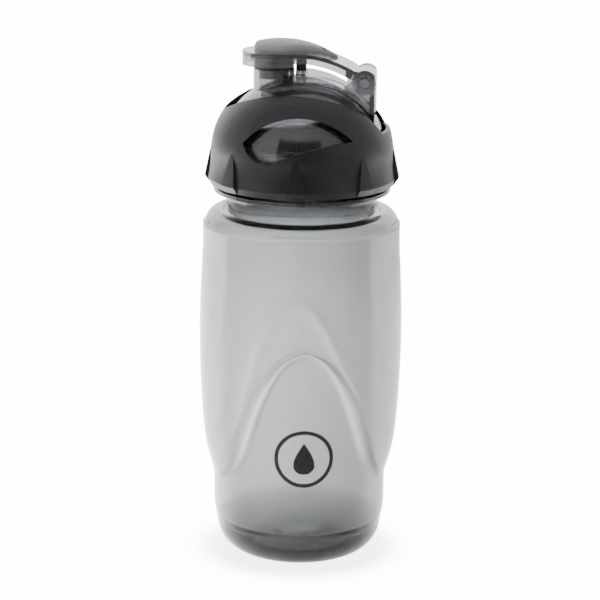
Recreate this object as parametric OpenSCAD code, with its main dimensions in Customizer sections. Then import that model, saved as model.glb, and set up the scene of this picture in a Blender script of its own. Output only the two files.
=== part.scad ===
// Dog travel water bottle: a smoky clear plastic bottle with a screw cap.
// The cap is a clear dome with a spout, under a black grip shell, and a
// flip lid on a cross pin closes the spout and its air vent.
// Frame: +Z up, base on z = 0, +X from the spout to the lid hinge.

/* [Bottle] */
// Widest diameter of the barrel
barrel_d = 72.7; // [70:0.5:76]
// Height of the widest place
barrel_peak_z = 80; // [76:1:84]
// Radius of the barrel's upright curve
barrel_curve_r = 380; // [300:10:500]
// Diameter of the lower grip section
grip_d = 61.4; // [58:0.5:63]
// Height of the shoulder's crest
shoulder_z = 125.9; // [122:0.5:130]
// Radius of the shoulder rounding
shoulder_r = 4.9; // [3:0.1:6]
// Wall of the blown bottle
bottle_wall = 1.3; // [0.9:0.1:2]
// Turn of the bottle's grip arches against the cap
body_clock = 7; // [-20:1:20]

/* [Grip arches] */
// Height of the arch top
arch_top_z = 82; // [76:1:88]
// Width factor of the arch, mm of width squared per mm of drop
arch_spread = 18.5; // [15:0.5:22]
// Depth of the grip recess under the arch top
arch_depth = 2.2; // [1.5:0.1:3]
// Width of the bevel that rounds the arch edge
arch_bevel = 1; // [0.5:0.1:1.5]

/* [Base] */
// Radius of the bottom corner
corner_r = 12; // [8:0.5:14]
// Width of the flat ring that the bottle stands on
foot_w = 3; // [2:0.5:5]
// Rise of the base above the foot ring
push_up = 3.4; // [2:0.2:5]
// Radius of the step in the base
base_step_r = 9.4; // [7.6:0.2:11]
// Radius of the small dimple in the middle of the base
dimple_r = 5.9; // [4:0.1:6.5]

/* [Neck] */
// Outer diameter of the threaded neck
neck_d = 54; // [53:0.2:54.6]
// Bore of the neck
neck_bore_d = 48; // [44:0.5:49]
// Outer diameter of the waist below the support ring
waist_d = 51.2; // [51:0.2:53]
// Diameter of the support ring
ring_d = 62.4; // [60:0.2:63]
// Thickness of the support ring
ring_t = 1.8; // [1.4:0.1:2.2]
// Height of the waist between the shoulder and the support ring
waist_h = 6.5; // [5.5:0.1:8]
// Height of the neck above the support ring
neck_h = 15; // [12:0.5:17]

/* [Cap] */
// Gap between the support ring and the grip shell
shell_gap = 1.1; // [0.6:0.1:2]
// Thickness of the gasket
gasket_t = 1.2; // [0.8:0.1:2]
// Wall of the clear dome
dome_wall = 2.2; // [1.6:0.1:2.6]
// Clearance between the dome and the grip shell at the top opening
dome_gap = 0.4; // [0.2:0.05:0.6]
// Clearance round the neck thread
thread_clear = 1.9; // [1.7:0.1:2.1]
// Wall of the cap skirt
skirt_wall = 1.2; // [1:0.1:1.5]

/* [Spout] */
// Outer diameter of the spout
spout_d = 14.4; // [13:0.2:16]
// Bore of the spout
spout_bore_d = 11.4; // [9:0.2:12]
// Distance of the spout from the bottle's axis
spout_x = 10.1; // [9:0.1:11]
// Height of the spout rim above the dome top
spout_h = 3.5; // [3:0.1:4]
// Outer diameter of the vent boss
vent_d = 4; // [3.6:0.1:4.4]
// Bore of the air vent
vent_bore_d = 1.6; // [1:0.1:2]

/* [Grip shell] */
// Wall of the grip shell
shell_wall = 1.3; // [1:0.1:1.5]
// Radius of the shell's shoulder
shell_r = 24.9; // [23:0.1:26]
// Clearance between the cap's skirt and the shell's inside
shell_clear = 0.7; // [0.4:0.1:1]
// Length of the top opening
opening_l = 62; // [56:1:64]
// Width of the top opening
opening_w = 38; // [32:1:42]
// Number of grip wedges round the shell
wedges = 8; // [6:1:12]
// Width of a grip wedge at its foot
wedge_w = 7.2; // [5:0.2:9]
// Height of a grip wedge
wedge_h = 13; // [8:0.5:14]
// How far a grip wedge stands out
wedge_out = 1.2; // [0.8:0.1:2]

/* [Flip lid] */
// Diameter of the lid disc
disc_d = 22.4; // [21:0.2:24]
// Height of the disc's skirt
disc_h = 4.8; // [4:0.1:5.4]
// Thickness of the lid's plate
lid_t = 1.5; // [1.2:0.1:1.8]
// Width of the arm over the hinge
arm_w = 17.2; // [16.4:0.2:18]
// Radius of the arm's top arc
arm_r = 41; // [40:0.5:42]
// Depth of the arm's side flanges under its top
flange_h = 3.3; // [2.6:0.1:3.8]
// Radius of the pad's round end
pad_r = 8.7; // [8:0.1:9]
// Length of the pad
pad_l = 29.2; // [28:0.1:30]
// Rise of the pad's crown above the lid
pad_rise = 4.2; // [3.6:0.1:4.6]
// Rise of the pad's rim above the lid, at the sides of its round end
pad_rim = 1.6; // [1.2:0.1:2]
// Radius of the pad's crown along its length
pad_arc_r = 36; // [32:1:44]

/* [Hinge] */
// Diameter of the hinge pin
pin_d = 3; // [2.4:0.1:3.2]
// Distance of the pin from the bottle's axis
pin_x = 21.9; // [21.4:0.1:22.4]
// Thickness of each hinge ear
ear_t = 1.8; // [1.4:0.1:2.2]
// Radius of the lid's knuckle
knuckle_r = 4.3; // [3.9:0.1:4.5]
// Distance of the ears' upright rear edge behind the pin
ear_back = 3.6; // [3.2:0.1:3.8]
// Thickness of the knuckle's two lugs
lug_t = 2.2; // [1.8:0.1:2.8]
// Running clearance of the knuckle on the pin
pin_clear = 0.06; // [0.03:0.01:0.1]
// Side clearance of the knuckle between the ears
side_clear = 0.2; // [0.15:0.05:0.4]

/* [Hidden] */
$fn = 96;
// Length of a cut that passes right through, how far a cutter runs past a face,
// the clearance of parts that are pressed together, and the side of a small edge bevel
big = 200;
past = 1;
fit = 0.1;
edge = 0.5;

// Heights up the neck and the cap, each from the one below
barrel_r = barrel_d / 2;
grip_r = grip_d / 2;
ring_z = shoulder_z + waist_h;
ring_top_z = ring_z + ring_t;
rim_z = ring_top_z + neck_h;
shell_z = ring_top_z + shell_gap;
skirt_gap = 0.4;
skirt_z = ring_top_z + skirt_gap;
ledge_z = rim_z + gasket_t;
dome_drop = 5.2;
dome_z = ledge_z - dome_drop;
knee_drop = 3.7;
shell_knee_z = ledge_z - knee_drop;

// The shell's shoulder stands off the skirt, and the dome's round is as large as
// the shell lets it be where the shell ends at the sides of its top opening
skirt_r = neck_d / 2 + thread_clear + skirt_wall;
shell_knee_r = skirt_r + shell_clear + shell_wall;
shell_ring_r = shell_knee_r - shell_r;
dome_in = 4.2;
dome_ring_r = shell_ring_r - dome_in;
side_r = opening_w / 2;
side_z = shell_knee_z + sqrt(pow(shell_r - shell_wall, 2) - pow(side_r - shell_ring_r, 2));
dome_r = sqrt(pow(side_r - dome_ring_r, 2) + pow(side_z - dome_z, 2)) - dome_gap;
dome_top_z = dome_z + dome_r;
spout_top_z = dome_top_z + spout_h;
disc_gap = 1.55;
disc_z = spout_top_z + disc_gap;
lid_top_z = disc_z + disc_h;
plate_z = lid_top_z - lid_t;

// Centre of the lid arm's arcs, in the plane across the pin
arm_x = -2.3;
arm_z = lid_top_z - arm_r;
pin_drop = 3.5;
pin_z = spout_top_z - pin_drop;
ear_r = knuckle_r + 0.3;
rail_drop = 7.3;
rail_r = arm_r - rail_drop;

// ---------- bottle ----------

// Radius of the bottle's core, which the grip recesses uncover
grip_z = 19.5;
grip_curve_r = 25.5;
core_top_r = barrel_r - arch_depth;
function core_radius(z) = z < grip_z
    ? grip_r - pow(grip_z - z, 2) / (2 * grip_curve_r)
    : grip_r + (core_top_r - grip_r) * pow((z - grip_z) / (arch_top_z - grip_z), 2);

// Radius of the barrel, which draws in faster towards its tongue tips
tip_z = 47;
tip_curve_r = 70;
function barrel_radius(z) = barrel_r - pow(z - barrel_peak_z, 2) / (2 * barrel_curve_r)
    - (z < tip_z ? pow(tip_z - z, 2) / (2 * tip_curve_r) : 0);

// Half width of a grip arch, a drop of d below its top: a parabola that
// narrows a little on its way down and flares out at its foot
arch_narrow = 0.0025;
flare_drop = 40;
flare_rate = 0.025;
function arch_half(d) = sqrt(arch_spread * d) * (1 - arch_narrow * d)
    + (d > flare_drop ? flare_rate * pow(d - flare_drop, 2) : 0);

// Foot ring, push-up and round corner, drawn in by the wall t
base_step = 1;
dimple_rise = 0.6;
module base_2d(t) {
    foot_r = core_radius(corner_r) - corner_r;
    top_z = push_up + t;
    difference() {
        union() {
            translate([foot_r, corner_r]) circle(r = corner_r - t);
            translate([0, t]) square([foot_r, corner_r - t]);
        }
        translate([-big, -big]) square([big, 2 * big]);
        polygon([[0, -past], [0, top_z + dimple_rise], [dimple_r - dimple_rise, top_z + dimple_rise],
                 [dimple_r, top_z], [base_step_r - base_step, top_z],
                 [base_step_r, top_z - base_step], [foot_r - foot_w, t], [foot_r - foot_w, -past]]);
    }
}

// The core runs up inside the barrel, a little past the arch tops
core_steps = 18;
core_over = 4;
module core_form(t) {
    top = arch_top_z + core_over;
    step = (top - corner_r) / core_steps;
    rotate_extrude() {
        base_2d(t);
        polygon(concat([[0, corner_r]],
            [for (i = [0:core_steps]) let (z = corner_r + step * i) [core_radius(z) - t, z]],
            [[0, top]]));
    }
}

// The barrel and its rounded shoulder, drawn in by the wall t
shoulder_mid_z = shoulder_z - shoulder_r;
shoulder_ring_r = barrel_radius(shoulder_mid_z) - shoulder_r;
barrel_foot_z = 24;
barrel_steps = 26;
module barrel_revolve(t) {
    step = (shoulder_mid_z - barrel_foot_z) / barrel_steps;
    rotate_extrude() {
        polygon(concat([[0, barrel_foot_z]],
            [for (i = [0:barrel_steps]) let (z = barrel_foot_z + step * i) [barrel_radius(z) - t, z]],
            [[0, shoulder_mid_z]]));
        translate([shoulder_ring_r, shoulder_mid_z]) intersection() {
            circle(r = shoulder_r - t);
            square(shoulder_r);
        }
        translate([0, shoulder_mid_z - past]) square([shoulder_ring_r, shoulder_r - t + past]);
    }
}

// The outline that an arch cuts, grown by g, from its top down past the tongue tips
arch_steps = 20;
module arch_2d(g) {
    low = arch_top_z - barrel_foot_z + 2 * past;
    drops = [for (i = [0:arch_steps]) low * pow(i / arch_steps, 1.6)];
    polygon(concat(
        [for (d = drops) [arch_half(d) + g, arch_top_z + g - d]],
        [for (i = [arch_steps:-1:1]) [-arch_half(drops[i]) - g, arch_top_z + g - drops[i]]]));
}

module arch_cutters(g) {
    rotate([90, 0, 0]) linear_extrude(big / 2, center = true) arch_2d(g);
}

module body_form(t) {
    core_form(t);
    difference() {
        barrel_revolve(t);
        arch_cutters(t);
        if (t == 0) difference() {
            arch_cutters(arch_bevel);
            barrel_revolve(arch_bevel);
        }
    }
}

// The waist rises from a groove in the shoulder, under the support ring
groove_deep = 2.2;
groove_z = shoulder_z - groove_deep;
groove_r = 28.1;
waist_flare = 1.6;
ring_edge = 0.3;
module neck_2d() {
    waist_r = waist_d / 2;
    ring_r = ring_d / 2;
    neck_r = neck_d / 2;
    mid_z = ring_z + ring_t / 2;
    polygon([[0, groove_z - past], [waist_r, groove_z - past], [waist_r, groove_z],
             [waist_r + waist_flare, ring_z - edge], [ring_r - edge, ring_z],
             [ring_r, ring_z + ring_edge], [ring_r, mid_z - ring_edge], [ring_r - ring_edge, mid_z],
             [ring_r, mid_z + ring_edge], [ring_r, ring_top_z - ring_edge],
             [ring_r - ring_edge, ring_top_z], [neck_r, ring_top_z], [neck_r, rim_z - edge],
             [neck_r - edge, rim_z], [0, rim_z]]);
}

module bottle_body() {
    color([0.74, 0.76, 0.78, 0.6]) rotate(body_clock) difference() {
        union() {
            difference() {
                body_form(0);
                translate([0, 0, groove_z]) difference() {
                    cylinder(h = big, r = groove_r);
                    translate([0, 0, -past]) cylinder(h = big + 2 * past, r = waist_d / 2);
                }
            }
            rotate_extrude() neck_2d();
        }
        difference() {
            body_form(bottle_wall);
            translate([0, 0, groove_z - bottle_wall]) difference() {
                cylinder(h = big, r = big);
                translate([0, 0, -past]) cylinder(h = big + 2 * past, r = neck_bore_d / 2);
            }
        }
        translate([0, 0, groove_z - 2 * groove_deep]) cylinder(h = big, d = neck_bore_d);
    }
}

// ---------- cap ----------

// Upright round of the dome, drawn in by t
module dome_2d(t) {
    intersection() {
        translate([dome_ring_r, dome_z]) circle(r = dome_r - t, $fn = 180);
        translate([dome_ring_r, dome_z]) square(big);
    }
    translate([0, dome_z]) square([dome_ring_r, dome_r - t]);
}

// The dome stands on a skirt round the neck, with a flange that the shell seats on
flange_w = 1;
flange_r = skirt_r + flange_w;
flange_t = 1.2;
module dome_shell() {
    rotate_extrude() difference() {
        union() {
            dome_2d(0);
            translate([0, skirt_z]) square([skirt_r, dome_z - skirt_z]);
            translate([0, shell_z]) square([flange_r, flange_t]);
        }
        difference() {
            dome_2d(dome_wall);
            square([big, ledge_z]);
        }
        translate([0, skirt_z - past]) square([skirt_r - skirt_wall, ledge_z - skirt_z + past]);
    }
}

// Everything outside the middle of the dome's wall, where the raised parts take root
module above_dome() {
    difference() {
        translate([-big / 2, -big / 2, root_z]) cube(big);
        rotate_extrude() dome_2d(dome_wall / 2);
    }
}

// Side outline of an ear: round over the pin, a slope at the front, upright at the rear,
// with a low rail that follows the lid's arm back to the spout
root_rise = 8;
root_z = dome_z + root_rise;
rear_x = pin_x + ear_back;
rear_t = 1.8;
ear_toe = 6.8;
toe_drop = 0.9;
brow_rise = 0.8;
rail_x = spout_d / 2 - spout_x;
module ear_2d() {
    intersection() {
        union() {
            intersection() {
                translate([arm_x, arm_z]) circle(r = rail_r, $fn = 180);
                translate([rail_x, root_z]) square([pin_x - rail_x, big]);
            }
            translate([pin_x, pin_z]) circle(r = ear_r);
            polygon([[pin_x - ear_toe, root_z], [pin_x - ear_toe, pin_z - toe_drop],
                     [pin_x - ear_r, pin_z + brow_rise], [pin_x, pin_z], [rear_x, pin_z],
                     [rear_x, root_z]]);
        }
        translate([rail_x, root_z]) square([rear_x - rail_x, big]);
    }
}

// Two ears, and a low wall across their rear edges that stops under the knuckle
knuckle_gap = 0.3;
module ears() {
    wall_top_z = pin_z - knuckle_r - knuckle_gap;
    for (s = [-1, 1]) translate([0, s * (arm_w - ear_t) / 2, 0]) rotate([90, 0, 0])
        linear_extrude(ear_t, center = true) ear_2d();
    translate([rear_x - rear_t, -arm_w / 2, root_z]) cube([rear_t, arm_w, wall_top_z - root_z]);
}

// The pin's bore has a shallow dish at each end
dish_deep = 0.3;
dish_w = 0.35;
module pin_bore() {
    translate([pin_x, 0, pin_z]) rotate([90, 0, 0]) {
        cylinder(h = big, d = pin_d, center = true);
        for (s = [-1, 1]) translate([0, 0, s * arm_w / 2])
            cylinder(h = 2 * dish_deep, r = pin_d / 2 + dish_w, center = true);
    }
}

vent_x = -0.6;
vent_drop = 0.6;
vent_top_z = spout_top_z - vent_drop;
module spout_cap() {
    color([0.62, 0.61, 0.63, 0.6]) difference() {
        union() {
            dome_shell();
            intersection() {
                above_dome();
                union() {
                    translate([-spout_x, 0, root_z]) cylinder(h = spout_top_z - root_z, d = spout_d);
                    translate([vent_x, 0, root_z]) cylinder(h = vent_top_z - root_z, d = vent_d);
                    ears();
                }
            }
        }
        translate([-spout_x, 0, root_z]) cylinder(h = big, d = spout_bore_d);
        translate([vent_x, 0, root_z]) cylinder(h = big, d = vent_bore_d);
        pin_bore();
    }
}

// ---------- grip shell ----------

// Outline of the shell, drawn in by t: tucked in at its foot, flaring in a curve up
// to the upright knee and round over the shoulder
bulge_out = 1;
tuck_in = 0.7;
shell_bulge_r = shell_knee_r + bulge_out;
shell_foot_r = shell_bulge_r - tuck_in;
bulge_h = 2.2;
bulge_land = 2.4;
flare_steps = 8;
module shell_2d(t) {
    flare_z = shell_z + bulge_h;
    flare_h = shell_knee_z - flare_z;
    intersection() {
        translate([shell_ring_r, shell_knee_z]) circle(r = shell_r - t, $fn = 180);
        translate([0, shell_knee_z]) square(big);
    }
    polygon(concat([[0, shell_z], [shell_foot_r - t, shell_z]],
        [for (i = [0:flare_steps]) let (u = i / flare_steps)
            [shell_knee_r + bulge_out * pow(1 - u, 2) - t, flare_z + flare_h * u]],
        [[0, shell_knee_z]]));
    translate([0, shell_knee_z]) square([shell_ring_r, shell_r - t]);
}

// Grip wedges: narrow upright triangles that stand furthest out near their feet
// and sink into the shell at their tips
wedge_foot = 1.4;
wedge_tip_w = 0.7;
module wedge_env_2d() {
    top_z = shell_z + bulge_land + wedge_h;
    polygon([[shell_ring_r, shell_z], [shell_foot_r + ring_edge, shell_z],
             [shell_bulge_r + wedge_out, shell_z + bulge_land],
             [shell_knee_r - edge, top_z], [shell_ring_r, top_z]]);
}

module wedge_2d() {
    top_z = shell_z + bulge_land + wedge_h;
    polygon([[wedge_tip_w / 2, top_z], [-wedge_tip_w / 2, top_z],
             [-wedge_w / 2, shell_z + wedge_foot], [edge - wedge_w / 2, shell_z],
             [wedge_w / 2 - edge, shell_z], [wedge_w / 2, shell_z + wedge_foot]]);
}

module wedges_all() {
    intersection() {
        rotate_extrude() wedge_env_2d();
        for (i = [0:wedges - 1]) rotate(i * 360 / wedges) rotate([90, 0, 0])
            linear_extrude(big / 2) wedge_2d();
    }
}

// Leaf-shaped window: a round crown over a hollow sweep, with a round left lobe
crown_r = 25.2;
crown_x = 0.7;
crown_drop = 9.6;
crown_z = shell_knee_z - crown_drop;
lobe_r = 8;
lobe_x = -10.8;
lobe_rise = 8.3;
lobe_z = shell_knee_z + lobe_rise;
sweep_r = 59.3;
sweep_x = 20;
sweep_drop = 51.7;
sweep_z = shell_knee_z - sweep_drop;
module window_2d() {
    intersection() {
        translate([crown_x, crown_z]) circle(r = crown_r, $fn = 180);
        union() {
            translate([lobe_x, lobe_z]) circle(r = lobe_r);
            translate([lobe_x - lobe_r, lobe_z]) square([lobe_r, big]);
            difference() {
                translate([lobe_x, lobe_z - lobe_r]) square(big);
                translate([sweep_x, sweep_z]) circle(r = sweep_r, $fn = 360);
            }
        }
    }
}

// Bevel round the window's crown: what lies outside a cone about a level axis
bevel_w = 4;
bevel_drop = 2.9;
bevel_y = 22.8;
module window_bevel() {
    rim_r = crown_r + bevel_w;
    cone_h = bevel_y + rim_r * bevel_drop / bevel_w;
    rotate([90, 0, 0]) difference() {
        linear_extrude(big / 2) translate([-big / 2, lobe_z]) square(big);
        translate([crown_x, crown_z]) cylinder(h = cone_h, r1 = cone_h * bevel_w / bevel_drop, r2 = 0);
    }
}

// The top opening is an oval cut level into the shell
opening_x = 3.5;
opening_z = lobe_z;
module top_opening() {
    translate([opening_x, 0, opening_z]) linear_extrude(big)
        polygon([for (a = [0:5:355]) [opening_l / 2 * cos(a), opening_w / 2 * sin(a)]]);
}

// The shell's foot snaps over the dome's flange, under a small rib
rib_h = 0.8;
rib_w = 0.9;
module shell_hollow() {
    rotate_extrude() difference() {
        union() {
            shell_2d(shell_wall);
            translate([0, shell_z - past]) square([flange_r + fit, flange_t + past]);
        }
        translate([flange_r - rib_w, shell_z + flange_t]) square([2 * rib_w, rib_h]);
    }
}

module grip_shell() {
    color([0.16, 0.16, 0.17]) difference() {
        union() {
            rotate_extrude() shell_2d(0);
            wedges_all();
        }
        shell_hollow();
        top_opening();
        rotate([90, 0, 0]) linear_extrude(big, center = true) window_2d();
        window_bevel();
        mirror([0, 1, 0]) window_bevel();
    }
}

// ---------- gasket and plugs ----------

gasket_lip = 0.6;
module neck_gasket() {
    color([0.2, 0.19, 0.19]) translate([0, 0, rim_z]) difference() {
        cylinder(h = gasket_t, r = skirt_r - skirt_wall - fit);
        translate([0, 0, -past]) cylinder(h = gasket_t + 2 * past, r = neck_bore_d / 2 + gasket_lip);
    }
}

// Spout plug: a flange on the rim, and a tapered nose that swings clear of the bore
seat_gap = 0.1;
nose_l = 3.2;
nose_taper = 0.4;
nose_wall = 1.4;
plug_floor = 1;
plug_d = spout_d - 4 * fit;
module spout_plug() {
    nose_d = spout_bore_d - 3 * fit;
    color([0.2, 0.19, 0.19]) translate([-spout_x, 0, 0]) difference() {
        union() {
            translate([0, 0, spout_top_z + seat_gap])
                cylinder(h = plate_z - spout_top_z - seat_gap, d = plug_d);
            translate([0, 0, spout_top_z - nose_l])
                cylinder(h = nose_l + seat_gap, d1 = nose_d - 2 * nose_taper, d2 = nose_d);
        }
        translate([0, 0, spout_top_z - 2 * nose_l])
            cylinder(h = 2 * nose_l - plug_floor, d = nose_d - 2 * (nose_taper + nose_wall));
    }
}

vent_plug_d = vent_d - 2 * fit;
module vent_plug() {
    low_z = vent_top_z + seat_gap;
    color([0.2, 0.19, 0.19]) translate([vent_x, 0, low_z])
        cylinder(h = plate_z - low_z, d = vent_plug_d);
}

module hinge_pin() {
    color([0.75, 0.75, 0.77]) translate([pin_x, 0, pin_z]) rotate([90, 0, 0])
        cylinder(h = arm_w - 2 * dish_deep, d = pin_d, center = true);
}

// ---------- flip lid ----------

// Plan of the lid, grown by g: the disc, running into the straight sides of the arm
neck_in_x = 4;
lead_in = 3;
module lid_plan_2d(g) {
    lead_x = lead_in - spout_x;
    lead_y = sqrt(pow(disc_d / 2 + g, 2) - pow(lead_in, 2));
    arm_y = arm_w / 2 + g;
    translate([-spout_x, 0]) circle(d = disc_d + 2 * g);
    polygon([[lead_x, lead_y], [neck_in_x, arm_y], [big, arm_y],
             [big, -arm_y], [neck_in_x, -arm_y], [lead_x, -lead_y]]);
}

// Side area under the lid's top line lowered by t: level over the disc, an arc over the arm
module under_lid_2d(t) {
    intersection() {
        union() {
            translate([arm_x, arm_z]) circle(r = arm_r - t, $fn = 180);
            translate([arm_x - big / 2 - t, arm_z]) square([big / 2 + t, arm_r - t]);
        }
        translate([-big, arm_z]) square(2 * big);
    }
}

// Side band of the lid between two depths under its top line
module lid_band_2d(top, low) {
    difference() {
        under_lid_2d(top);
        under_lid_2d(low);
    }
}

module lid_band(top, low) {
    rotate([90, 0, 0]) linear_extrude(big / 2, center = true) lid_band_2d(top, low);
}

// The part of the lid's plan, grown by g, that lies left of x
module lid_prism(g, x) {
    translate([0, 0, arm_z]) linear_extrude(big) intersection() {
        lid_plan_2d(g);
        translate([x - big, -big / 2]) square(big);
    }
}

// The arm ends round the ears, and between them its top runs on as a hood over two
// lugs that turn on the pin, flat at the rear with the lid shut
arm_gap = 0.5;
arm_end_x = pin_x - ear_r - arm_gap;
arm_root = 1.5;
lid_wall = 1.5;
module ear_clearance() {
    translate([pin_x, 0, pin_z]) rotate([90, 0, 0])
        cylinder(h = big, r = ear_r + arm_gap, center = true);
}

module knuckle_2d() {
    intersection() {
        translate([pin_x, pin_z]) circle(r = knuckle_r);
        square([rear_x - fit, big]);
    }
    intersection() {
        lid_band_2d(0, flange_h);
        translate([arm_end_x - arm_root, 0]) square([pin_x - arm_end_x + arm_root, big]);
    }
}

// The space between the lugs, under the hood
module under_hood_2d() {
    translate([pin_x, pin_z]) circle(r = knuckle_r - lid_wall);
    translate([arm_end_x, arm_z]) square([big, pin_z - arm_z]);
    intersection() {
        under_lid_2d(lid_t);
        translate([arm_end_x, arm_z]) square([pin_x - arm_end_x, big]);
    }
}

module knuckle() {
    knuckle_w = arm_w - 2 * (ear_t + side_clear);
    rotate([90, 0, 0]) difference() {
        linear_extrude(knuckle_w, center = true) knuckle_2d();
        linear_extrude(knuckle_w - 2 * lug_t, center = true) under_hood_2d();
    }
}

// Short sockets under the plate that hold the two plugs
socket_h = 1.2;
socket_wall = 0.9;
module socket_blank(x, d) {
    translate([x, 0, plate_z - socket_h]) cylinder(h = socket_h + fit, r = d / 2 + fit + socket_wall);
}
module socket_bore(x, d) {
    translate([x, 0, plate_z - big / 4]) cylinder(h = big / 4, r = d / 2 + fit);
}

module flip_lid() {
    color([0.72, 0.71, 0.73, 0.75]) difference() {
        union() {
            difference() {
                union() {
                    difference() {
                        intersection() {
                            lid_prism(0, pin_x);
                            lid_band(0, flange_h);
                        }
                        ear_clearance();
                    }
                    translate([-spout_x, 0, disc_z]) cylinder(h = disc_h, d = disc_d);
                }
                intersection() {
                    lid_prism(-lid_wall, arm_end_x - arm_root);
                    lid_band(lid_t, disc_h + lid_wall);
                }
            }
            knuckle();
            socket_blank(-spout_x, plug_d);
            socket_blank(vent_x, vent_plug_d);
        }
        socket_bore(-spout_x, plug_d);
        socket_bore(vent_x, vent_plug_d);
        translate([pin_x, 0, pin_z]) rotate([90, 0, 0])
            cylinder(h = big, d = pin_d + 2 * pin_clear, center = true);
        intersection() {
            pad_block(fit);
            lid_band(-edge, pad_pocket);
        }
    }
}

// ---------- pad ----------

// The pad's upright block, grown by g: a teardrop with a small round tip, whose
// straight flanks start a hair inside the two rounds
pad_pocket = 0.5;
pad_x = -8.3;
pad_tip_r = 0.9;
hair = 0.02;
module pad_block(g) {
    tip_x = pad_x - pad_r + pad_l - pad_tip_r;
    big_r = pad_r + g;
    tip_r = pad_tip_r + g;
    a = acos((pad_r - pad_tip_r) / (tip_x - pad_x));
    x0 = pad_x + (big_r - hair) * cos(a);
    y0 = (big_r - hair) * sin(a);
    x1 = tip_x + (tip_r - hair) * cos(a);
    y1 = (tip_r - hair) * sin(a);
    translate([pad_x, 0, arm_z]) cylinder(h = big, r = big_r);
    translate([tip_x, 0, arm_z]) cylinder(h = big, r = tip_r);
    translate([0, 0, arm_z]) linear_extrude(big)
        polygon([[pad_x, 0], [x0, y0], [x1, y1], [tip_x, 0], [x1, -y1], [x0, -y0]]);
}

// Crown of the pad: the top of an upright ring, bent more across the pad than along it
peak_x = -7.3;
module pad_crown() {
    sag = pad_rise - pad_rim;
    cross_r = (pow(pad_r, 2) + pow(sag, 2)) / (2 * sag);
    translate([peak_x, 0, lid_top_z + pad_rise - pad_arc_r]) rotate([90, 0, 0])
        rotate_extrude($fn = 180) translate([pad_arc_r - cross_r, 0]) circle(r = cross_r);
}

slot_x = 7.5;
slot_l = 1.4;
slot_w = 1.3;
module lid_pad() {
    color([0.36, 0.36, 0.38]) difference() {
        intersection() {
            pad_block(0);
            pad_crown();
            lid_band(-big / 4, pad_pocket);
        }
        translate([slot_x - slot_l / 2, -slot_w / 2, arm_z]) cube([slot_l, slot_w, big]);
    }
}

bottle_body();
spout_cap();
grip_shell();
neck_gasket();
flip_lid();
lid_pad();
spout_plug();
vent_plug();
hinge_pin();
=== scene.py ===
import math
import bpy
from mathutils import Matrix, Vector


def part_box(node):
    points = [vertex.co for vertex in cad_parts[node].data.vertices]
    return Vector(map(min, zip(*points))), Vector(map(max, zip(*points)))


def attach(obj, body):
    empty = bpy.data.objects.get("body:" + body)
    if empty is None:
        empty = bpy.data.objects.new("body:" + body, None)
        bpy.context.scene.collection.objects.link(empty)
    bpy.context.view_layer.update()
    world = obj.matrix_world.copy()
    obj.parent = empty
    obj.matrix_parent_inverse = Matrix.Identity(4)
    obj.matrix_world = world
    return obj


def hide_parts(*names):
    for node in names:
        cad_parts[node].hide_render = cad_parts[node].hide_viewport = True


bl_info = {
    "name": "Travel bottle dressing",
    "version": (1, 0, 0),
    "blender": (4, 5, 0),
    "location": "View3D > Sidebar > Bottle",
    "description": "Builds the finished surfaces of a smoky travel bottle round its fixed frame",
    "category": "Object",
}

import bmesh
import bpy
import numpy as np
from mathutils import Matrix, Vector

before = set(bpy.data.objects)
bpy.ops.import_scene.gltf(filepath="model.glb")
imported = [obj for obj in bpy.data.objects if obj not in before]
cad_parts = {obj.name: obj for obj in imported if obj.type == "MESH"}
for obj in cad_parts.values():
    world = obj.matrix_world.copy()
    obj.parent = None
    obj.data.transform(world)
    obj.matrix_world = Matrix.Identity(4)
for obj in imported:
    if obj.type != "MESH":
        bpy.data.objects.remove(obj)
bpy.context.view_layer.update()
MM = 0.001

# Heights and radii of the bottle, in millimetres, as the frame has them
RIM_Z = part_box("bottle_body")[1].z / MM
NECK_H = 15.0
RING_T = 1.8
RING_TOP_Z = RIM_Z - NECK_H
RING_Z = RING_TOP_Z - RING_T
RING_R = 31.2
SHOULDER_Z = RING_Z - 6.5
SHOULDER_R = 4.9
SHOULDER_MID_Z = SHOULDER_Z - SHOULDER_R
GROOVE_Z = SHOULDER_Z - 1.3
GROOVE_R = 28.1
WAIST_R = 25.6
NECK_R = 27.0
BORE_R = 24.0
SKIRT_IN_R = 28.9
BARREL_R = 36.35
BARREL_PEAK_Z = 80.0
GRIP_R = 30.7
GRIP_Z = 19.5
CORNER_R = 12.0
FOOT_R = 17.6
ARCH_TOP_Z = 82.0
ARCH_DEPTH = 2.2
BODY_TURN = math.radians(7)
MARK_Z = 42.5

# How the body's walls curve: the length that a squared height is divided by, in the core and
# in the barrel, and the height below which the barrel draws in towards its foot
CORE_TAPER = 51.0
BARREL_BOW = 760.0
BARREL_TUCK_Z = 47.0
BARREL_TUCK = 140.0
# The grip arch's outline: a parabola that narrows a little and flares out near its foot
ARCH_WIDTH = 18.5
ARCH_NARROW = 0.0025
ARCH_FLARE_FROM = 40.0
ARCH_FLARE = 0.025
# The share of the bevel outside the arch's line, and the softness where barrel meets core
BEVEL_OUT = 0.35
MELT = 0.5
MELT_SINK = 0.35
# Points round the body at each height
BODY_TURNS = 480

# The lid's top face and the soft pad on it
PAD_X = -8.3
PAD_R = 8.7
PAD_TIP_X = 11.3
PAD_TIP_R = 0.9
PAD_TIP_STEPS = 9
PEAK_X = -7.3
PEAK_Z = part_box("lid_pad")[1].z / MM
PAD_ARC_R = 36.0
PAD_CROSS_R = 15.86
LID_TOP_Z = PEAK_Z - 4.2
ARM_X = -2.3
ARM_R = 41.0
# The radius of the pad's rim, and the middle and the sizes of the slot in it, in millimetres
PAD_EDGE_R = 1.35
SLOT_PLACE = (7.2, -1.5, 182.3)
SLOT_SIZE = (1.5, 1.7, 3.2)

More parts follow.
